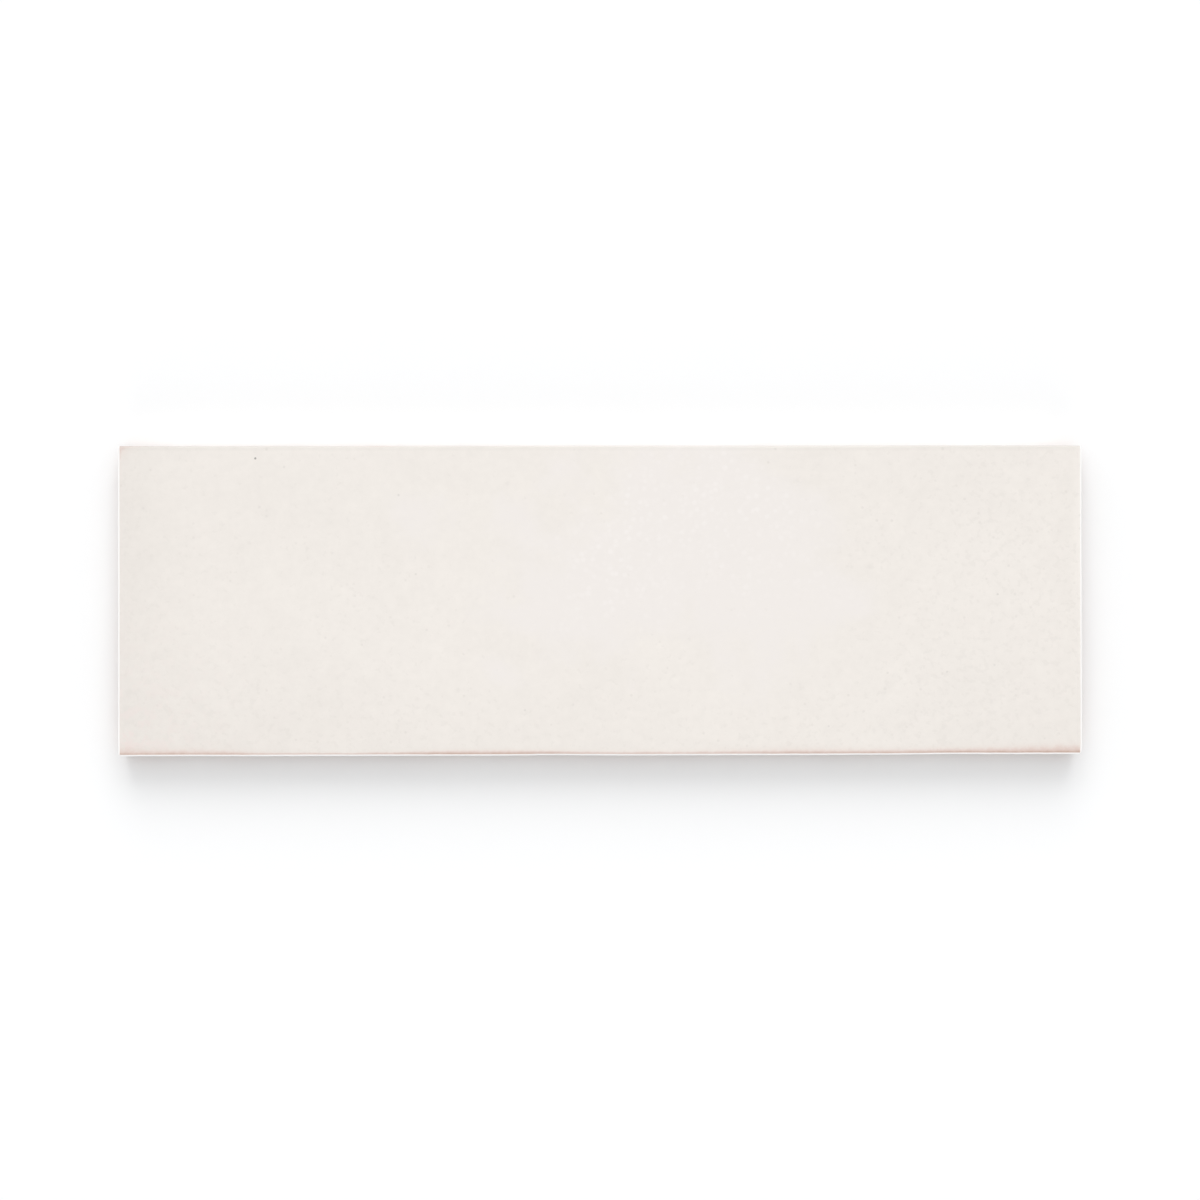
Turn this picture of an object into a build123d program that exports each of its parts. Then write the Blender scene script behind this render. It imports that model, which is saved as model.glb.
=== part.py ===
from build123d import *

import os
from math import radians, tan

# Rectangular wall tile: clay pressed in a die, glazed on its face and fired as one piece.
# The origin is the centre of the back, where the tile beds in its adhesive. +X runs along the
# length, +Y across the width, and +Z points out of the glazed face. Sizes are in millimetres.

# Overall size
tile_length = 199.0
tile_width = 64.0
tile_thickness = 8.5

# Edges
face_edge_radius = 0.6  # the glaze rolls over the rim of the face
corner_radius = 0.5  # the four upright corners
edge_land = 3.0  # upright band of the sides, below the face
side_draft = 2.0  # degrees, below the land the sides lean in so that the tile leaves its die
back_edge_chamfer = 0.5

# Keyed back: square pockets between ribs, which the adhesive grips
key_side = 16.0  # one pocket, across its mouth
key_depth = 0.8
key_corner_radius = 1.5
key_wall_draft = 30.0  # degrees, a pocket narrows towards its floor
rib_width = 3.0  # between two pockets
least_border = 4.0  # plain rim kept around the pockets

# Worked out from the sizes above
land_bottom = tile_thickness - edge_land
back_inset = land_bottom * tan(radians(side_draft)) + back_edge_chamfer
key_pitch = key_side + rib_width


def keys_along(outer_side):
    """Number of keys, one rib apart, that fit between the two borders of the back."""
    room = outer_side - 2 * (back_inset + least_border)
    return int((room + rib_width) // key_pitch)


with BuildPart() as tile:
    # The upright land below the face, and the drafted sides from there to the back
    with BuildSketch(Plane.XY.offset(land_bottom)) as outline:
        Rectangle(tile_length, tile_width)
    extrude(amount=edge_land)
    extrude(outline.sketch, amount=-land_bottom, taper=side_draft)

    # Broken edges: round the back, up the four corners, and round the glazed face
    back_rim = tile.faces().sort_by(Axis.Z)[0].edges()
    chamfer(back_rim, back_edge_chamfer)
    upright_corners = tile.edges() - tile.edges().filter_by(Plane.XY)
    fillet(upright_corners, corner_radius)
    face_rim = tile.faces().sort_by(Axis.Z)[-1].edges()
    fillet(face_rim, face_edge_radius)

    # The grid of keys pressed into the back
    with BuildSketch(Plane.XY):
        with GridLocations(key_pitch, key_pitch, keys_along(tile_length), keys_along(tile_width)):
            RectangleRounded(key_side, key_side, key_corner_radius)
    extrude(amount=key_depth, taper=key_wall_draft, mode=Mode.SUBTRACT)

tile.part.label = "tile"

os.makedirs("parts", exist_ok=True)
export_step(tile.part, "parts/tile.step")
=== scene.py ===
# %% [markdown]
# This lesson dresses one glazed wall tile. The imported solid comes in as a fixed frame, so the tile
# already has its size and its place: it lies on its back at the origin, with its length along X and
# its glazed face up. Blender only adds what the kiln and the glaze add to such a body.

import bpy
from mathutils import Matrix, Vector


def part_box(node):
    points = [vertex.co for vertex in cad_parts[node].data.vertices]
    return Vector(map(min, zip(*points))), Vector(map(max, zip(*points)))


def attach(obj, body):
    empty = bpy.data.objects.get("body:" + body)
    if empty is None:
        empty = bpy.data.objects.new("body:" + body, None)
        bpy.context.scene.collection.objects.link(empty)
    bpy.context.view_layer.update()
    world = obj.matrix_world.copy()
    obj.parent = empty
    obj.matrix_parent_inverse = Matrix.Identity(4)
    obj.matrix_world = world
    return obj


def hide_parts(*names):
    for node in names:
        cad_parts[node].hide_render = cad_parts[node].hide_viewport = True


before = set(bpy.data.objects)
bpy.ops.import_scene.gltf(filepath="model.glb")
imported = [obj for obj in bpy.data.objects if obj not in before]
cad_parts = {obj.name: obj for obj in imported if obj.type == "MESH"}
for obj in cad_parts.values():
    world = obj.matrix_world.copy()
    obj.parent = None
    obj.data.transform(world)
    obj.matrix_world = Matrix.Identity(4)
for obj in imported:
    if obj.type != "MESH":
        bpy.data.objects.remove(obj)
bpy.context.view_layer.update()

# %% [markdown]
# A tile maker's drawing is in millimetres, so the shape is worked out in millimetres and becomes
# metres only when it is put into the mesh. The overall sizes are read from the frame. The others
# repeat the body's drawing: rolled edges, sides that lean in below an upright band, and the square
# pockets that key the back to its adhesive. Drafts are in degrees.

import bpy
import numpy as np
from mathutils import Matrix, Vector

MM = 0.001

high_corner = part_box("tile")[1]
half_length = high_corner[0] / MM
half_width = high_corner[1] / MM
thickness = high_corner[2] / MM

rim_radius = 0.55
edge_land = 3.0
side_draft = 2.0
land_bottom = thickness - edge_land
side_slope = np.tan(np.radians(side_draft))

key_side = 16.0
key_pitch = 19.0
key_columns = 10
key_rows = 3
key_depth = 0.8
key_corner_radius = 1.5
key_wall_draft = 30.0
key_wall_run = key_depth * np.tan(np.radians(key_wall_draft))
print(f"tile {2 * half_length:.1f} x {2 * half_width:.1f} x {thickness:.1f} mm")

# %% [markdown]
# Fired clay and glaze are never quite even. Blender has noise textures for colour, but the shape
# needs the same kind of unevenness as plain arrays. A lattice of random numbers, blended smoothly
# from one corner to the next, gives soft clouds at any scale, and a seed keeps them the same on
# every run.

# %% Smooth steps and clouds
lattice_side = 128


def smooth_step(value):
    """Goes from 0 to 1 as the value does, level at both ends: 3 v squared minus 2 v cubed."""
    held = np.clip(value, 0.0, 1.0)
    return held * held * (3.0 - 2.0 * held)


def swelling(value, centre, half_span):
    """A soft hill of height 1: the bell curve of the distance from its centre."""
    return np.exp(-(((value - centre) / half_span) ** 2))


def cloud(x, y, cell, seed):
    """Soft random value from -1 to 1. Each corner of a square lattice has a random number, and a
    point blends the four corners round it, with a smooth step along each axis."""
    lattice = np.random.default_rng(seed).uniform(-1.0, 1.0, (lattice_side, lattice_side))
    column = np.floor(x / cell).astype(int)
    row = np.floor(y / cell).astype(int)
    across = smooth_step(x / cell - column)
    along = smooth_step(y / cell - row)
    next_column = (column + 1) % lattice_side
    next_row = (row + 1) % lattice_side
    column = column % lattice_side
    row = row % lattice_side
    near = lattice[column, row] * (1 - across) + lattice[next_column, row] * across
    far = lattice[column, next_row] * (1 - across) + lattice[next_column, next_row] * across
    return near * (1 - along) + far * along


def clouds(x, y, layers):
    """The sum of several clouds at the same points, each with its amount, its cell in millimetres
    and its seed."""
    return np.sum([amount * cloud(x, y, cell, seed) for amount, cell, seed in layers], axis=0)


print("cloud at the middle of the face", cloud(np.zeros(1), np.zeros(1), 30.0, 1))

# %% [markdown]
# A closed skin can be a box whose six sides are grids with shared borders. The grid lines are not
# evenly spaced: the face needs them close together near its rim, and the back along the walls of
# its pockets. So each set of lines is spread by a density, as if every gap had to hold the same
# amount of detail. The last few lines at each end belong to the rolled rim.

# %% Grid lines of the face and the back
line_count_x = 288
line_count_y = 96
rim_steps = 5
rim_crowding = 3.0
rim_crowding_reach = 1.0
wall_crowding = 5.0
wall_crowding_reach = 0.4
density_steps = 8000
rim_lines = rim_radius * np.tan(np.linspace(0.0, np.pi / 4, rim_steps + 1))[1:]


def spread(low, high, count, density):
    """Puts lines between two ends so that each gap holds an equal share of the density: the
    density's running total, read backwards at even steps."""
    fine = np.linspace(low, high, density_steps + 1)
    total = np.concatenate([[0.0], np.cumsum(density(0.5 * (fine[1:] + fine[:-1])))])
    return np.interp(np.linspace(0.0, total[-1], count), total, fine)


def with_rims(half_side, count, density):
    """Lines across one side of the tile: the spread ones between the rims, then the rim's own."""
    flat = half_side - rim_radius
    rim = flat + rim_lines
    return np.concatenate([-rim[::-1], spread(-flat, flat, count, density), rim])


def face_density(half_side):
    """Even over the face, and closer within about two millimetres of the rim."""
    return lambda s: 1.0 + rim_crowding * np.exp(-(half_side - np.abs(s)) / rim_crowding_reach)


def back_density(columns):
    """Even over the back, with a peak at each pocket wall."""
    centres = (np.arange(columns) - (columns - 1) / 2) * key_pitch
    middle = key_side / 2 - key_wall_run / 2
    walls = np.concatenate([centres - middle, centres + middle])
    return lambda s: 1.0 + wall_crowding * swelling(s[:, None], walls, wall_crowding_reach).sum(axis=1)


face_x = with_rims(half_length, line_count_x, face_density(half_length))
face_y = with_rims(half_width, line_count_y, face_density(half_width))
back_x = with_rims(half_length, line_count_x, back_density(key_columns))
back_y = with_rims(half_width, line_count_y, back_density(key_rows))
print("lines", len(face_x), "by", len(face_y), "widest face gap", np.diff(face_x).max().round(2), "mm")

# %% [markdown]
# The four sides are rings that run round the tile from the face down to the back. The first ring
# is the border of the face grid and the last is the border of the back grid, so nothing has to be
# merged afterwards. Rings lie closer together where the glaze ends, low on the sides.

# %% Rings of the sides
skirt_level = 1.7
skirt_crowding = 4.0
skirt_crowding_reach = 0.8
side_row_count = 20


def side_density(level):
    """Even up the sides, with a peak where the glaze ends."""
    return 1.0 + skirt_crowding * swelling(level, skirt_level, skirt_crowding_reach)


upright_rows = spread(rim_radius, thickness - rim_radius, side_row_count, side_density)
top_rows = thickness - rim_radius + rim_lines[-2::-1]
bottom_rows = rim_radius - rim_lines[:-1]
ring_levels = np.concatenate([top_rows, upright_rows[::-1], bottom_rows])
print("rings", len(ring_levels), "from", ring_levels[0].round(2), "down to", ring_levels[-1].round(2), "mm")

# %% [markdown]
# Now the crossings of the lines are numbered and joined into quads. Blender could bridge the grids
# with an operator, but the numbers say plainly which points belong together: each cell of a grid is
# a quad, and so is each gap between two rings.

# %% The closed box of grids
def grid_points(x_lines, y_lines, level):
    """Every crossing of two sets of lines, at one level."""
    x_places, y_places = np.meshgrid(x_lines, y_lines, indexing="ij")
    return np.stack([x_places, y_places, np.full_like(x_places, level)], axis=-1).reshape(-1, 3)


def border(numbers):
    """The outer entries of a grid, counter-clockwise from its first corner."""
    return np.concatenate([numbers[:-1, 0], numbers[-1, :-1], numbers[:0:-1, -1], numbers[0, :0:-1]])


def grid_quads(numbers):
    """The four corners of each cell of a grid, counter-clockwise."""
    corners = [numbers[:-1, :-1], numbers[1:, :-1], numbers[1:, 1:], numbers[:-1, 1:]]
    return np.stack(corners, axis=-1).reshape(-1, 4)


face_points = grid_points(face_x, face_y, thickness)
back_points = grid_points(back_x, back_y, 0.0)
face_numbers = np.arange(len(face_points)).reshape(len(face_x), len(face_y))
edge_numbers = border(face_numbers)

# A ring's points slide from the face's spacing to the back's as the rings go down.
way_down = (1.0 - ring_levels / thickness)[:, None, None]
ring_points = face_points[edge_numbers] * (1 - way_down) + back_points[edge_numbers] * way_down
ring_points[:, :, 2] = ring_levels[:, None]

ring_start = len(face_points)
ring_total = len(ring_levels) * len(edge_numbers)
back_start = ring_start + ring_total
ring_numbers = ring_start + np.arange(ring_total).reshape(len(ring_levels), -1)
belt = np.vstack([edge_numbers, ring_numbers, back_start + edge_numbers])
belt_next = np.roll(belt, -1, axis=1)
side_quads = np.stack([belt[:-1], belt[1:], belt_next[1:], belt_next[:-1]], axis=-1).reshape(-1, 4)
face_quads = grid_quads(face_numbers)
back_quads = grid_quads(face_numbers)[:, ::-1] + back_start
quads = np.vstack([face_quads, side_quads, back_quads])
box_points = np.vstack([face_points, ring_points.reshape(-1, 3), back_points])
print("points", len(box_points), "triangles", 2 * len(quads))

# %% [markdown]
# Every edge of the tile is rolled to the same small radius. A Bevel modifier would cut new faces
# into the edges, while here the lines for the roll are there already: each point is pulled back to
# the nearest point of a smaller inner box, and pushed out from it by the radius. Points on the flat
# sides stay where they are, and those near an edge come to lie on its curve.

# %% Roll the edges
core_reach = np.array([half_length - rim_radius, half_width - rim_radius])
core = np.column_stack([
    np.clip(box_points[:, :2], -core_reach, core_reach),
    np.clip(box_points[:, 2], rim_radius, thickness - rim_radius),
])
outward = box_points - core
outward /= np.linalg.norm(outward, axis=1, keepdims=True)
skin = core + rim_radius * outward
print("rolled", int((np.abs(outward).max(axis=1) < 0.999).sum()), "points onto the rims")

# %% [markdown]
# The sides of a pressed tile lean in below an upright band, and the glaze that runs over the rim
# stops low on the sides in an uneven line: lower towards the rear, and higher at the two ends. It
# stands proud of the bare clay by its own thickness, and where it hangs over the rim it is a little
# uneven too. The front rim also has a few shallow dents. All of these are insets that depend on the
# place, so they are added up and taken off together.

# %% Lean the sides and end the glaze
glaze_thickness = 0.18
skirt_roll = 0.4
rear_run = 0.9
rear_evenness = 0.5
end_rise = 1.0
end_length = 12.0
rim_unevenness = 0.07
dent_zone = 0.1 * half_width
skirt_waves = [(0.28, 13.0, 21), (0.26, 3.7, 22)]
rim_lumps = [(-0.3, 2.1, 23), (-0.2, 14.0, 24)]
front_dents = [
    # centre along X, half width, depth, in millimetres
    (-92.0, 9.0, 0.03),
    (-10.0, 7.0, 0.10),
    (72.0, 9.0, 0.06),
    (92.0, 30.0, 0.13),
]
x, y, z = skin.T
front_distance = half_width + y
rear_distance = half_width - y
left_distance = half_length + x
right_distance = half_length - x
rim_distance = np.minimum.reduce([front_distance, rear_distance, left_distance, right_distance])

rearward = front_distance / (2 * half_width)
on_end = smooth_step(1.0 - np.minimum(left_distance, right_distance) / end_length)
skirt_line = skirt_level - rear_run * rearward + end_rise * on_end
skirt_line = skirt_line + clouds(x, y, skirt_waves) * (1.0 - rear_evenness * rearward)
above_skirt = z - skirt_line
glazed = smooth_step(above_skirt / skirt_roll + 0.5)

uneven = rim_unevenness * (0.5 + clouds(x, y, rim_lumps)) * glazed
dents = np.sum([depth * swelling(x, centre, half_span) for centre, half_span, depth in front_dents], axis=0)
dents = dents * smooth_step(1.0 - front_distance / dent_zone)
lean = side_slope * np.maximum(land_bottom - z, 0.0)
inset = lean + glaze_thickness * (1.0 - glazed) + uneven + dents
skin[:, 0] -= inset * x / half_length
skin[:, 1] -= inset * y / half_width
print("glaze ends", skirt_line.min().round(2), "to", skirt_line.max().round(2), "mm above the back")

# %% [markdown]
# The face looks flat, but a kiln leaves slow waves in the body, the glaze adds a finer ripple, and
# it draws down a little towards the rim. They are tenths of a millimetre, and show only as the way
# that light bends across the face. The back has its grid of pockets, each a rounded square with
# leaning walls: the distance to its outline, measured inwards, gives the depth. Bare clay has a
# fine grain there too.

# %% Waves on the face and keys in the back
draw_depth = 0.10
draw_reach = 2.0
slow_wave = 0.06
slow_wave_cell = 38.0
fine_ripple = 0.012
fine_ripple_cell = 9.0
grain_height = 0.025
grain_cell = 1.6
grain_margin = 1.0
facing_down = -0.99
x, y, z = skin.T
on_face = np.clip(outward[:, 2], 0.0, 1.0)
on_back = outward[:, 2] < facing_down

draw_down = draw_depth * np.exp(-rim_distance / draw_reach)
slow_waves = slow_wave * (1.0 - cloud(x, y, slow_wave_cell, 31))
ripples = fine_ripple * (1.0 - cloud(x, y, fine_ripple_cell, 32))
face_drop = (draw_down + slow_waves + ripples) * on_face ** 2


def key_depth_at(x, y):
    """Depth of the pockets: full inside a rounded square, falling to nothing over the wall. The
    square's centre is the nearest crossing of the key grid."""
    middle = np.array([(key_columns - 1) / 2, (key_rows - 1) / 2])
    place = np.column_stack([x, y]) / key_pitch + middle
    nearest = np.clip(np.round(place), 0, 2 * middle)
    corner_gap = np.abs(place - nearest) * key_pitch - (key_side / 2 - key_corner_radius)
    outside = np.hypot(*np.maximum(corner_gap, 0.0).T)
    inside = np.minimum(corner_gap.max(axis=1), 0.0)
    return key_depth * smooth_step((key_corner_radius - outside - inside) / key_wall_run)


clay_grain = grain_height * (1.0 + cloud(x, y, grain_cell, 41))
back_rise = (key_depth_at(x, y) + clay_grain * (rim_distance > grain_margin)) * on_back
skin[:, 2] += back_rise - face_drop
print("face drops up to", face_drop.max().round(3), "mm, keys", back_rise.max().round(2), "mm deep")

# %% [markdown]
# Where the glaze is thick or thin depends on the place, so the mesh carries it as attributes that
# the material can read. Glaze pulls away from a sharp edge. Along the front rim the clay shows
# through as a fine dark line with a pink tail, in long stretches that are strongest towards the
# right. The rear rim has only a hint of it, and the left end even less.

# %% Where the glaze runs thin
thin_start = 0.25
thin_peak = 0.41
line_share = 0.75
line_width = 0.14
tail_share = 0.33
front_least = 0.30
front_least_reach = 0.45
front_flicker = [(0.07, 6.0, 51), (0.05, 2.2, 54)]
left_least = 0.08
left_flicker = [(0.05, 8.0, 52)]
left_reach = 0.8
rear_reach = 0.31
front_breaks = [
    # centre along X, half width, strength, reach in from the rim, all in millimetres but strength
    (-99.5, 5.0, 0.32, 1.15),
    (-86.0, 18.0, 0.70, 1.10),
    (-23.0, 20.0, 1.05, 0.60),
    (8.0, 10.0, 0.20, 0.60),
    (38.0, 20.0, 0.50, 1.00),
    (90.0, 34.0, 1.20, 0.90),
    (98.0, 8.0, 0.30, 0.70),
]
rear_breaks = [
    # centre along X, half width, strength
    (-99.0, 9.0, 0.30),
    (-46.0, 4.5, 0.30),
    (68.0, 4.0, 0.10),
    (95.0, 5.0, 0.12),
]


def past_rim_highlight(distance):
    """Goes from 0 at the inner side of the rim's painted highlight to 1 where the glaze is thinnest."""
    return smooth_step((distance - thin_start) / (thin_peak - thin_start))


def thinning(distance, strength, reach):
    """Clay showing through: it starts past the painted rim highlight, peaks there as a fine line, and
    has a longer tail that fades inwards over its reach."""
    past_peak = np.maximum(distance - thin_peak, 0.0)
    profile = line_share * np.exp(-past_peak / line_width) + tail_share * np.exp(-past_peak / reach)
    return strength * past_rim_highlight(distance) * profile


front_strength = front_least + clouds(x, y, front_flicker)
front_reach = np.full_like(x, front_least_reach)
for centre, half_span, strength, reach in front_breaks:
    hill = swelling(x, centre, half_span)
    front_strength = front_strength + strength * hill
    front_reach = front_reach + (reach - front_least_reach) * hill
rear_strength = np.sum([strength * swelling(x, centre, half_span)
                        for centre, half_span, strength in rear_breaks], axis=0)
rear_fade = np.exp(-rear_distance / rear_reach)
left_strength = left_least + clouds(x, y, left_flicker)
thin_rims = np.maximum.reduce([
    thinning(front_distance, front_strength, front_reach),
    rear_strength * rear_fade,
    thinning(left_distance, left_strength, left_reach),
])
print("thinnest glaze on the rims", thin_rims.max().round(2))

# %% [markdown]
# The rest of the rim follows from the same distances. The two left corners blush, one evenly and
# one in flecks, and so does the ragged end of the glaze on the sides. The rear rim is given painted
# shade, darkest towards its corners. On the other three rims a narrow painted highlight, a
# near-white line, runs just over the edge.

# %% Blushes, painted rear shade and painted rim highlight
rim_turn = 0.3
corner_strength = 0.34
corner_reach = 1.5
corner_length = 1.8
corner_full = 1.0
fleck_reach_x = 9.0
fleck_reach_y = 10.0
skirt_blush_strength = 0.40
skirt_blush_reach = 0.45
# Painted shade: how much the rear rim's colour is darkened, more towards its ends.
rear_shade_middle = 0.56
rear_shade_towards_ends = 0.20
rear_shade_flicker = [(0.12, 9.0, 53)]
# Painted highlight: a near-white line along the front, left and right rims.
rim_highlight_width = 0.30
rim_highlight_softness = 0.16
rim_highlight_foot = thickness - 1.2
rim_highlight_rise = 0.8

on_rim = smooth_step(on_face / rim_turn)
on_side = 1.0 - on_rim
along_left = np.maximum(rear_distance - corner_full, 0.0)
corner_fade = np.exp(-left_distance / corner_reach - along_left / corner_length)
corner_blush = corner_strength * past_rim_highlight(left_distance) * corner_fade
skirt_blush = skirt_blush_strength * np.exp(-np.maximum(above_skirt, 0.0) / skirt_blush_reach)
thin = np.clip((thin_rims + corner_blush) * on_rim + skirt_blush, 0.0, 1.0)
flecked = np.exp(-np.hypot(left_distance / fleck_reach_x, front_distance / fleck_reach_y)) * on_rim

# The rear rim is painted darker here as painted shade, with a little cloud in it.
rear_shade = rear_shade_middle + rear_shade_towards_ends * np.abs(x) / half_length + clouds(x, y, rear_shade_flicker)
painted_rear_shade = rear_shade * rear_fade * on_rim

# The front, left and right rims get a painted highlight: a narrow near-white line just over the edge,
# fading down the sides.
rim_highlight_distance = np.minimum.reduce([front_distance, left_distance, right_distance])
painted_rim_highlight = smooth_step((rim_highlight_width - rim_highlight_distance) / rim_highlight_softness + 0.5)
painted_rim_highlight = painted_rim_highlight * smooth_step((z - rim_highlight_foot) / rim_highlight_rise)
print("thin glaze", thin.mean().round(3), "rear_shade", painted_rear_shade.max().round(2), "painted_rim_highlight", painted_rim_highlight.mean().round(3))

# %% [markdown]
# Over the open face the glaze varies slowly: darker towards the left end and the front corners. A
# broad patch right of the middle is painted paler and less yellow as a painted sheen, with painted
# glints of light in it, and has fewer pits. Elsewhere it is finely pitted, most of all towards the
# right. Each of these is a listed soft hill or hollow, with a little cloud over it.

# %% Tone and pitting of the face
tone_level = 0.62
tone_clouds = [(0.05, 30.0, 61), (0.05, 11.0, 62)]
patch_clouds = [(0.22, 9.0, 64), (0.12, 3.0, 65)]
patch_start = 0.25
patch_softness = 0.45
glint_clouds = [(0.25, 6.0, 66)]
pitting_level = 0.32
pitting_clouds = [(0.16, 13.0, 63)]
patch_relief = 0.6
tone_places = [
    # centre X, centre Y, half length, half width, change of tone
    (-101.0, 4.0, 10.0, 70.0, -0.34),
    (-80.0, -28.0, 34.0, 14.0, -0.20),
    (-30.0, -34.0, 60.0, 12.0, -0.10),
    (20.0, -6.0, 55.0, 30.0, 0.10),
    (92.0, -32.0, 26.0, 20.0, -0.18),
    (100.0, 16.0, 1.8, 22.0, 0.60),
]
pitted_places = [
    # centre X, centre Y, half length, half width, more pits
    (-98.0, 4.0, 10.0, 50.0, 0.45),
    (-66.0, -24.0, 34.0, 14.0, 0.40),
    (-58.0, 6.0, 24.0, 16.0, 0.12),
    (84.0, -4.0, 36.0, 44.0, 0.50),
    (24.0, -27.0, 50.0, 12.0, 0.35),
]
sheen_places = [
    # centre X, centre Y, half length, half width, strength of the painted sheen
    (21.0, 12.0, 30.0, 25.0, 1.0),
    (-37.0, 18.0, 7.0, 9.0, 0.55),
    (-16.0, 6.0, 13.0, 16.0, 0.40),
    (-14.0, -3.0, 13.0, 4.0, 0.35),
    (-21.0, -15.0, 7.0, 4.0, 0.55),
    (49.0, 0.0, 6.0, 6.0, 0.40),
]
glint_places = [
    # centre X, centre Y, half length, half width, share of painted glints
    (-0.5, 12.0, 9.0, 14.0, 1.0),
    (26.0, 17.0, 24.0, 17.0, 1.0),
]


def laid_by_hand(places):
    """The sum of soft hills, each with a centre, a half size each way and a height."""
    hills = [height * swelling(x, cx, sx) * swelling(y, cy, sy) for cx, cy, sx, sy, height in places]
    return np.sum(hills, axis=0)


tone = np.clip(tone_level + clouds(x, y, tone_clouds) + laid_by_hand(tone_places), 0.0, 1.0)
# The patch is a painted sheen: it makes the glaze paler and less yellow, and takes pits away.
patch = laid_by_hand(sheen_places) + clouds(x, y, patch_clouds)
painted_sheen = smooth_step((patch - patch_start) / patch_softness)
# Painted glints: where light dots are painted into the sheen patch.
painted_glints = np.clip(laid_by_hand(glint_places) + clouds(x, y, glint_clouds), 0.0, 1.0) * painted_sheen
pitting = pitting_level + clouds(x, y, pitting_clouds) + laid_by_hand(pitted_places)
pitting = np.clip(pitting - patch_relief * painted_sheen, 0.0, 1.0)
print("tone", tone[on_face > 0.9].mean().round(3), "+-", tone[on_face > 0.9].std().round(3))

# %% [markdown]
# Now the arrays become a mesh. A loop that adds one point at a time would be slow, so whole arrays
# go in with foreach_set. It also keeps the order of the points, so the attributes fit.

# %% The tile's mesh
def mesh_from_arrays(name, points, corners):
    """Makes a smooth mesh from points in millimetres and quads of point numbers."""
    mesh = bpy.data.meshes.new(name)
    mesh.vertices.add(len(points))
    mesh.vertices.foreach_set("co", (points * MM).ravel())
    mesh.loops.add(corners.size)
    mesh.loops.foreach_set("vertex_index", corners.ravel())
    mesh.polygons.add(len(corners))
    mesh.polygons.foreach_set("loop_start", np.arange(0, corners.size, 4))
    mesh.polygons.foreach_set("use_smooth", np.ones(len(corners), dtype=bool))
    mesh.update(calc_edges=True)
    return mesh


tile_mesh = mesh_from_arrays("glazed_tile", skin, quads)
# Some maps carry painted light: the sheen patch and its light dots, the shade of the rear rim and the pale
# line along the other three rims.
glaze_maps = {
    "thin": thin,
    "painted_rim_highlight": painted_rim_highlight,
    "above_skirt": above_skirt,
    "tone": tone,
    "pitting": pitting,
    "painted_sheen": painted_sheen,
    "painted_glints": painted_glints,
    "flecked": flecked,
    "painted_rear_shade": painted_rear_shade,
    "on_side": on_side,
}
for map_name, values in glaze_maps.items():
    layer = tile_mesh.attributes.new(map_name, "FLOAT", "POINT")
    layer.data.foreach_set("value", values.astype(np.float32))
tile = bpy.data.objects.new("glazed_tile", tile_mesh)
bpy.context.collection.objects.link(tile)
print("mesh", len(tile_mesh.vertices), "points", len(tile_mesh.polygons), "quads", tile_mesh.validate())

# %% [markdown]
# A finish that is painted into a picture, as for a game or a web page, needs a place in the picture
# for each part of the skin. An unwrap operator would find one, but here it is known already: the
# face, the back and the four sides are laid out as flat sheets at one scale, as a box is cut from
# card. The sides lie on three shelves above the two large sheets.

# %% Flat sheets for the UV map
sheet_gap = 3.0
sheet_side = 2 * half_length + 2 * sheet_gap
sheet_height = 2 * half_width + sheet_gap
shelf_height = thickness + sheet_gap
side_cells = np.array([len(face_x) - 1, len(face_y) - 1] * 2)
side_of_quad = np.tile(np.repeat(np.arange(4), side_cells), len(belt) - 1)

# The sides come in the order front, right, rear, left.
shelf_of_side = np.array([0, 2, 1, 2])
shift_of_side = np.array([0.0, 0.0, 0.0, sheet_height])
runs_along_x = (side_of_quad % 2 == 0)[:, None]

sheet_u = skin[quads, 0] + half_length
sheet_v = skin[quads, 1] + half_width
sides = slice(len(face_quads), len(face_quads) + len(side_quads))
strip_u = np.where(runs_along_x, sheet_u[sides], sheet_v[sides])
sheet_u[sides] = strip_u + shift_of_side[side_of_quad][:, None]
strip_v = skin[side_quads, 2] + 2 * sheet_height
sheet_v[sides] = strip_v + (shelf_of_side * shelf_height)[side_of_quad][:, None]
sheet_v[sides.stop:] += sheet_height
sheet = (np.stack([sheet_u, sheet_v], axis=-1) + sheet_gap) / sheet_side
uv_layer = tile_mesh.uv_layers.new(name="OFBake")
uv_layer.data.foreach_set("uv", sheet.ravel())
print("sheets fill", sheet.min(axis=(0, 1)).round(3), "to", sheet.max(axis=(0, 1)).round(3))

# %% [markdown]
# The finish is one material, because glaze and clay are one fired surface: a mask decides which of
# them shows. Nodes are easier to read when each line makes one node and says what goes into it, so
# a function that adds a node comes first, and a class with short names for the kinds used here.

# %% Helpers for material nodes
spot_core = 0.3
faintest_spot = 0.35
speck_core = 0.45
fray_size = 0.35
fray_depth = 0.25


def fill(tree, socket, value):
    """Gives an input a link or a number."""
    if isinstance(value, bpy.types.NodeSocket):
        tree.links.new(value, socket)
    else:
        socket.default_value = value


def add_node(tree, kind, inputs=None, **settings):
    """Adds a node, sets its options, and fills its inputs with numbers or links."""
    made = tree.nodes.new(kind)
    for name, value in settings.items():
        setattr(made, name, value)
    for socket, value in (inputs or {}).items():
        fill(tree, made.inputs[socket], value)
    return made


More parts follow.
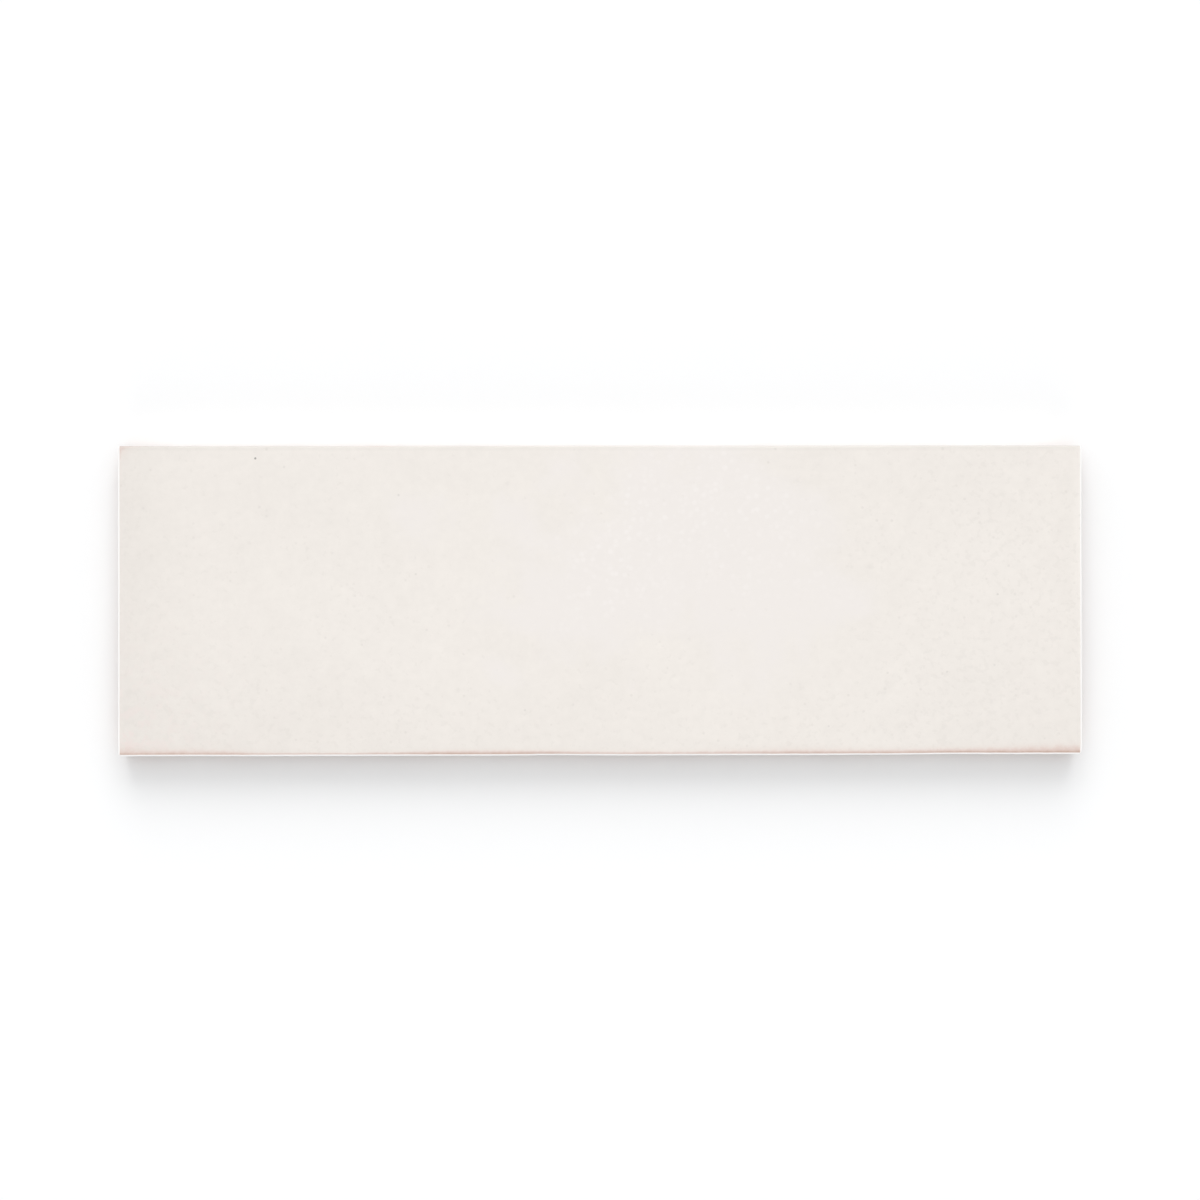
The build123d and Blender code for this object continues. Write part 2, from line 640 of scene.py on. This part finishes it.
class Finish:
    """A node material with short names for the nodes that a fired surface needs."""

    def __init__(self, name):
        self.material = bpy.data.materials.new(name)
        self.material.use_nodes = True
        self.tree = self.material.node_tree
        self.tree.nodes.clear()
        self.place = add_node(self.tree, "ShaderNodeTexCoord").outputs["Object"]

    def read(self, attribute):
        """The mesh's own number at each point."""
        return add_node(self.tree, "ShaderNodeAttribute", attribute_name=attribute).outputs["Fac"]

    def grain(self, size_mm, detail=2.0, roughness=0.5):
        """Noise whose lumps are about the given size, from 0 to 1 round 0.5."""
        inputs = {"Vector": self.place, "Scale": 1.0 / (size_mm * MM), "Detail": detail}
        inputs["Roughness"] = roughness
        return add_node(self.tree, "ShaderNodeTexNoise", inputs).outputs["Fac"]

    def math(self, operation, first, second=0.0, third=0.0, clamp=False):
        """One sum, product or comparison."""
        inputs = {0: first, 1: second, 2: third}
        made = add_node(self.tree, "ShaderNodeMath", inputs, operation=operation, use_clamp=clamp)
        return made.outputs[0]

    def share(self, value, amount):
        """A value, scaled by an amount."""
        return self.math("MULTIPLY", value, amount)

    def fade(self, value, low, high, start=0.0, end=1.0):
        """Goes smoothly from start to end while the value goes from low to high."""
        inputs = {"Value": value, "From Min": low, "From Max": high, "To Min": start, "To Max": end}
        made = add_node(self.tree, "ShaderNodeMapRange", inputs, interpolation_type="SMOOTHSTEP")
        return made.outputs["Result"]

    def mix(self, amount, first, second):
        """Blends two colours. A Mix node has sockets for every kind of value, so those for colours
        go by their numbers."""
        made = add_node(self.tree, "ShaderNodeMix", data_type="RGBA")
        for number, value in ((0, amount), (6, first), (7, second)):
            fill(self.tree, made.inputs[number], value)
        return made.outputs[2]

    def between(self, amount, first, second):
        """Blends two numbers: the first, plus the amount times their difference."""
        return self.math("MULTIPLY_ADD", amount, self.math("SUBTRACT", second, first), first)

    def sway(self, noise, amount, value, clamp=False):
        """A value that a noise moves up and down by up to half the amount."""
        return self.math("MULTIPLY_ADD", self.math("SUBTRACT", noise, 0.5), amount, value, clamp)

    def peaks(self, noise, level, softness):
        """The parts of a noise above a level, rising softly from 0 to 1."""
        above = self.math("DIVIDE", self.math("SUBTRACT", noise, level), softness)
        return self.fade(above, 0.0, 1.0)

    def spots(self, size_mm, radius, share):
        """Round spots in random cells: a cell has one where its random number is under the share,
        and the spot fades out at the radius, given as a part of the cell."""
        inputs = {"Vector": self.place, "Scale": 1.0 / (size_mm * MM)}
        cells = add_node(self.tree, "ShaderNodeTexVoronoi", inputs)
        chance = add_node(self.tree, "ShaderNodeSeparateColor", {"Color": cells.outputs["Color"]})
        chosen = self.math("LESS_THAN", chance.outputs["Red"], share)
        depth = self.fade(chance.outputs["Green"], 0.0, 1.0, faintest_spot, 1.0)
        round_spot = self.fade(cells.outputs["Distance"], radius * spot_core, radius, 1.0, 0.0)
        return self.math("MULTIPLY", self.math("MULTIPLY", round_spot, chosen), depth)

    def spot_at(self, x_mm, y_mm, radius_mm):
        """One ragged spot at a place on the face, measured along the face: the distance, plus a
        little noise, fades from the middle of the spot to its edge."""
        flat_place = {0: self.place, 1: (1.0, 1.0, 0.0)}
        level = add_node(self.tree, "ShaderNodeVectorMath", flat_place, operation="MULTIPLY")
        ends = {0: level.outputs["Vector"], 1: (x_mm * MM, y_mm * MM, 0.0)}
        gap = add_node(self.tree, "ShaderNodeVectorMath", ends, operation="DISTANCE")
        ragged = self.math("MULTIPLY_ADD", self.grain(fray_size), fray_depth * MM, gap.outputs["Value"])
        middle = (fray_depth / 2 + radius_mm * speck_core) * MM
        edge = (fray_depth / 2 + radius_mm) * MM
        return self.fade(ragged, middle, edge, 1.0, 0.0)


finish = Finish("satin_glaze_on_terracotta")
print("started", finish.material.name)

# %% [markdown]
# The glaze is a warm white. Its colour is blended from two creams by the tone of the mesh, with a
# fine mottle and stipple. The patch of painted sheen is paler and less yellow, and the glaze of the
# sides is duller. Soft uneven pits are the peaks of a noise: the more pitted a place, the lower the
# peaks that count. A few sharper ones are round spots. The painted glints, light dots, are made the same
# way.

# %% Cream, pits, painted sheen and painted glints
cream_deep = (0.776, 0.731, 0.684, 1.0)
cream_pale = (0.868, 0.820, 0.769, 1.0)
sheen_cream = (0.846, 0.800, 0.766, 1.0)
pit_shade = (0.735, 0.692, 0.645, 1.0)
glint_white = (0.898, 0.855, 0.824, 1.0)
side_white = (0.735, 0.707, 0.676, 1.0)
mottle_amount = 0.50
stipple_amount = 0.40
patch_amount = 0.80
soft_pit_amount = 0.45
pit_amount = 0.60
sharp_pit_share = 0.28
soft_glint_amount = 0.30
glint_amount = 0.55
side_amount = 0.80

mottle = finish.grain(3.4, detail=2.0, roughness=0.6)
stipple = finish.grain(1.3, detail=1.0)
tone_now = finish.sway(mottle, mottle_amount, finish.read("tone"))
tone_now = finish.sway(stipple, stipple_amount, tone_now, clamp=True)
glaze_colour = finish.mix(tone_now, cream_deep, cream_pale)
# Painted sheen: the patch's colour is paler and less yellow.
glaze_colour = finish.mix(finish.share(finish.read("painted_sheen"), patch_amount), glaze_colour, sheen_cream)

pit_level = finish.fade(finish.read("pitting"), 0.0, 1.0, 0.66, 0.50)
soft_pits = finish.peaks(finish.grain(1.25, detail=2.0, roughness=0.6), pit_level, 0.14)
sharp_pits = finish.spots(1.5, 0.29, finish.share(finish.read("pitting"), sharp_pit_share))
pits = finish.math("MAXIMUM", finish.share(soft_pits, soft_pit_amount), sharp_pits)
glaze_colour = finish.mix(finish.share(pits, pit_amount), glaze_colour, pit_shade)

# Painted glints: light dots painted into the sheen patch.
soft_glints = finish.peaks(finish.grain(1.35, detail=1.0), 0.50, 0.20)
round_glints = finish.spots(1.45, 0.52, 0.85)
glints = finish.math("MULTIPLY_ADD", soft_glints, soft_glint_amount, round_glints, clamp=True)
glints = finish.math("MULTIPLY", glints, finish.read("painted_glints"))
glaze_colour = finish.mix(finish.share(glints, glint_amount), glaze_colour, glint_white)
glaze_colour = finish.mix(finish.share(finish.read("on_side"), side_amount), glaze_colour, side_white)
print("glaze of the open face,", len(finish.tree.nodes), "nodes")

# %% [markdown]
# Thin glaze goes through two colours: first it blushes pink, and where it is thinnest the clay
# shows through it, darker and browner. A noise breaks up its edge. Painted shade on the rear rim, a
# painted highlight on the other rims and a few real blemishes, each at its own place, lie over that.

# %% Thin glaze, rims and blemishes
flush_pink = (0.830, 0.725, 0.690, 1.0)
blush_pink = (0.775, 0.655, 0.605, 1.0)
thin_pink = (0.574, 0.413, 0.344, 1.0)
# The grey of the painted shade on the rear rim.
rear_shade_grey = (0.490, 0.470, 0.440, 1.0)
# The white of the painted highlight on the front, left and right rims.
rim_highlight_white = (0.965, 0.950, 0.935, 1.0)
speck_grey = (0.120, 0.110, 0.100, 1.0)
fleck_amount = 0.9
blush_full = 0.35
clay_start = 0.12
blemishes = [
    # X, Y, radius in millimetres, darkness
    (-71.2, 29.4, 0.30, 0.66),
    (82.0, 1.2, 0.30, 0.17),
    (-41.7, 21.8, 0.32, 0.14),
    (71.5, -14.8, 0.30, 0.12),
    (-15.7, -22.6, 0.30, 0.12),
    (-38.2, 5.5, 0.30, 0.12),
    (47.0, -26.0, 0.30, 0.10),
    (59.2, -15.0, 0.32, 0.10),
    (81.3, -13.4, 0.32, 0.10),
    (-65.3, 27.6, 0.34, 0.09),
]

flecks = finish.peaks(finish.grain(2.2, detail=3.0, roughness=0.6), 0.47, 0.14)
flecks = finish.math("MULTIPLY", flecks, finish.read("flecked"))
glaze_colour = finish.mix(finish.share(flecks, fleck_amount), glaze_colour, flush_pink)

thin_break = finish.fade(finish.grain(1.4, detail=3.0, roughness=0.65), 0.25, 0.75, 0.75, 1.2)
thin_now = finish.math("MULTIPLY", finish.read("thin"), thin_break, clamp=True)
glaze_colour = finish.mix(finish.fade(thin_now, 0.0, blush_full), glaze_colour, blush_pink)
past_start = finish.math("SUBTRACT", thin_now, clay_start)
clay_through = finish.math("DIVIDE", past_start, 1.0 - clay_start, clamp=True)
glaze_colour = finish.mix(clay_through, glaze_colour, thin_pink)

# Painted shade darkens the rear rim.
glaze_colour = finish.mix(finish.read("painted_rear_shade"), glaze_colour, rear_shade_grey)
# A painted highlight whitens the front, left and right rims.
glaze_colour = finish.mix(finish.read("painted_rim_highlight"), glaze_colour, rim_highlight_white)
for blemish_x, blemish_y, blemish_radius, darkness in blemishes:
    spot = finish.share(finish.spot_at(blemish_x, blemish_y, blemish_radius), darkness)
    glaze_colour = finish.mix(spot, glaze_colour, speck_grey)
print("glaze with its rims,", len(finish.tree.nodes), "nodes")

# %% [markdown]
# The bare clay below and behind is a dull terracotta, clouded, with darker and paler grains. The
# glaze covers it down to the ragged line on the sides, which the mesh carries as a height above
# that line.

# %% Bare clay and the cover of glaze
clay_deep = (0.290, 0.178, 0.132, 1.0)
clay_pale = (0.420, 0.280, 0.220, 1.0)
clay_dark_grain = (0.170, 0.085, 0.058, 1.0)
clay_light_grain = (0.620, 0.470, 0.380, 1.0)
dark_grain_amount = 0.6
light_grain_amount = 0.5
skirt_fray_mm = 1.0
cover_low = -0.15
cover_high = 0.35

clay_cloud = finish.grain(7.0, detail=5.0, roughness=0.65)
clay_colour = finish.mix(finish.fade(clay_cloud, 0.15, 0.85), clay_deep, clay_pale)
dark_grains = finish.spots(1.3, 0.30, 0.25)
clay_colour = finish.mix(finish.share(dark_grains, dark_grain_amount), clay_colour, clay_dark_grain)
light_grains = finish.spots(1.0, 0.30, 0.25)
clay_colour = finish.mix(finish.share(light_grains, light_grain_amount), clay_colour, clay_light_grain)

skirt_fray = finish.grain(0.9, detail=4.0, roughness=0.7)
frayed_height = finish.sway(skirt_fray, skirt_fray_mm, finish.read("above_skirt"))
cover = finish.fade(frayed_height, cover_low, cover_high)
surface_colour = finish.mix(cover, clay_colour, glaze_colour)
print("clay under the glaze,", len(finish.tree.nodes), "nodes")

# %% [markdown]
# Roughness and bump follow the same masks: satin glaze with a fine orange peel and shallow pits,
# and dry gritty clay. Heights are in millimetres, and the bump's distance turns them into metres.

# %% Gloss and bump
clay_roughness = 0.88
peel_height = 0.030
pit_height = -0.020
grit_height = 0.16
dark_grain_height = -0.08
glass_ior = 1.5

glaze_roughness = finish.fade(finish.grain(4.0, detail=3.0), 0.3, 0.7, 0.28, 0.38)
roughness = finish.between(cover, clay_roughness, glaze_roughness)

peel = finish.grain(1.9, detail=1.0)
glaze_height = finish.math("MULTIPLY_ADD", peel, peel_height, finish.share(pits, pit_height))
grit = finish.grain(0.5, detail=4.0, roughness=0.7)
clay_height = finish.math("MULTIPLY_ADD", grit, grit_height, finish.share(dark_grains, dark_grain_height))
height = finish.between(cover, clay_height, glaze_height)
bump = add_node(finish.tree, "ShaderNodeBump", {"Height": height, "Strength": 1.0, "Distance": MM})

shader = add_node(finish.tree, "ShaderNodeBsdfPrincipled", {
    "Base Color": surface_colour,
    "Roughness": roughness,
    "IOR": glass_ior,
    "Normal": bump.outputs["Normal"],
})
add_node(finish.tree, "ShaderNodeOutputMaterial", {"Surface": shader.outputs["BSDF"]})
tile_mesh.materials.append(finish.material)
print("material nodes", len(finish.tree.nodes))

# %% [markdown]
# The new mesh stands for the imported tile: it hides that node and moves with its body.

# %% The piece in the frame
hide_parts("tile")
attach(tile, "root")
print("piece", tile.name)

# %% [markdown]
# The tile lies on a plain white floor. Under the right light the floor comes out just white, and
# only the soft shadow of the tile shows on it.

# %% Floor
floor_half = 6.0
floor_white = (0.95, 0.95, 0.95, 1.0)
floor_mesh = bpy.data.meshes.new("floor")
floor_corners = [
    (-floor_half, -floor_half, 0.0),
    (floor_half, -floor_half, 0.0),
    (floor_half, floor_half, 0.0),
    (-floor_half, floor_half, 0.0),
]
floor_mesh.from_pydata(floor_corners, [], [(0, 1, 2, 3)])
floor_paint = bpy.data.materials.new("white_paper")
floor_paint.use_nodes = True
floor_shader = floor_paint.node_tree.nodes["Principled BSDF"]
floor_shader.inputs["Base Color"].default_value = floor_white
floor_shader.inputs["Roughness"].default_value = 1.0
floor_shader.inputs["Specular IOR Level"].default_value = 0.0
floor_mesh.materials.append(floor_paint)
floor = bpy.data.objects.new("floor", floor_mesh)
bpy.context.collection.objects.link(floor)
print("floor", 2 * floor_half, "m wide")

# %% [markdown]
# The light is a soft studio. A little over half of it is the pale surround of the next step. A weak
# lamp stands straight overhead, three broad ones behind throw the shadow to the front, and a weak
# one low in front lights the near side. Sun lamps suit this, because they light the whole floor
# evenly, and a wide angle makes them as soft as a large diffuser. Each lamp is given as the share
# of the floor's white that it brings. The overhead lamp is kept out of reflections, as a crossed
# polariser does on a copy stand, so the glaze shows its own colour and not the lamp.

# %% Lamps
lamp_colour = (1.015, 1.0, 0.99)
lamp_plan = [
    # name, bearing, elevation, angle across, all in degrees, share of the floor's white
    ("overhead_lamp", 90.0, 89.9, 5.0, 0.071),
    ("rear_lamp", 90.0, 38.0, 46.0, 0.222),
    ("rear_left_lamp", 140.0, 48.0, 50.0, 0.070),
    ("rear_right_lamp", 40.0, 48.0, 50.0, 0.048),
    ("front_lamp", -90.0, 22.0, 40.0, 0.045),
]


def add_lamp(name, bearing, elevation, angle, share):
    """A sun lamp, seen from the tile in a direction given in degrees: the bearing is
    counter-clockwise from +X. The floor gets the stated share of white: pi times the share, over
    the sine of the elevation and the floor's own white."""
    height = np.sin(np.radians(elevation))
    level = np.cos(np.radians(elevation))
    towards = Vector((level * np.cos(np.radians(bearing)), level * np.sin(np.radians(bearing)), height))
    data = bpy.data.lights.new(name, "SUN")
    data.angle = np.radians(angle)
    data.energy = share * np.pi / (height * floor_white[0])
    data.color = lamp_colour
    lamp = bpy.data.objects.new(name, data)
    lamp.rotation_euler = towards.to_track_quat("Z", "Y").to_euler()
    lamp.location = towards
    bpy.context.collection.objects.link(lamp)
    return lamp


lamps = [add_lamp(*plan) for plan in lamp_plan]
lamps[0].visible_glossy = False
print("lamps", [round(lamp.data.energy, 2) for lamp in lamps])

# %% [markdown]
# The surround is brightest at the horizon and falls off towards the zenith, like white walls round
# a table. A picture of a studio could light the scene too, but a formula of the direction is
# plainer: one minus the upward part of the direction, raised to a power, says how near it is to the
# horizon.

# %% Surround
surround_colour = (0.978, 1.0, 1.02, 1.0)
horizon_light = 1.36
zenith_light = 0.508
horizon_falloff = 3.0
world = bpy.data.worlds.new("studio")
world.use_nodes = True
sky = world.node_tree
direction = add_node(sky, "ShaderNodeTexCoord").outputs["Generated"]
upward = add_node(sky, "ShaderNodeSeparateXYZ", {0: direction}).outputs["Z"]
sideways = add_node(sky, "ShaderNodeMath", {0: 1.0, 1: upward}, operation="SUBTRACT", use_clamp=True)
fading = add_node(sky, "ShaderNodeMath", {0: sideways.outputs[0], 1: horizon_falloff}, operation="POWER")
glow_inputs = {0: fading.outputs[0], 1: horizon_light - zenith_light, 2: zenith_light}
glow = add_node(sky, "ShaderNodeMath", glow_inputs, operation="MULTIPLY_ADD")
sky.links.new(glow.outputs[0], sky.nodes["Background"].inputs["Strength"])
sky.nodes["Background"].inputs["Color"].default_value = surround_colour
bpy.context.scene.world = world
bpy.context.scene.view_settings.view_transform = "Standard"
print("surround from", zenith_light, "at the zenith to", horizon_light, "at the horizon")

# %% [markdown]
# The photograph looks almost straight down with a long lens, from a little towards the left and the
# front, so the left end is a shade larger than the right. The camera is built from its three own
# axes, because tracking tools lose the up direction when they look straight down.

# %% Camera
eye = Vector((-11.0, -3.5, 696.1)) * MM
aim = Vector((-0.2, 0.12, 8.0)) * MM
camera_roll = np.radians(-0.076)
camera_data = bpy.data.cameras.new("camera")
camera_data.lens = 100.0
camera_data.sensor_width = 36.0
camera_back = (eye - aim).normalized()
camera_right = Vector((0.0, 1.0, 0.0)).cross(camera_back).normalized()
camera_up = camera_back.cross(camera_right)
camera_axes = Matrix((camera_right, camera_up, camera_back)).transposed()
camera = bpy.data.objects.new("camera", camera_data)
camera.matrix_world = Matrix.Translation(eye) @ camera_axes.to_4x4() @ Matrix.Rotation(camera_roll, 4, "Z")
bpy.context.collection.objects.link(camera)
bpy.context.scene.camera = camera
print("camera", round((eye - aim).length / MM), "mm from the tile")
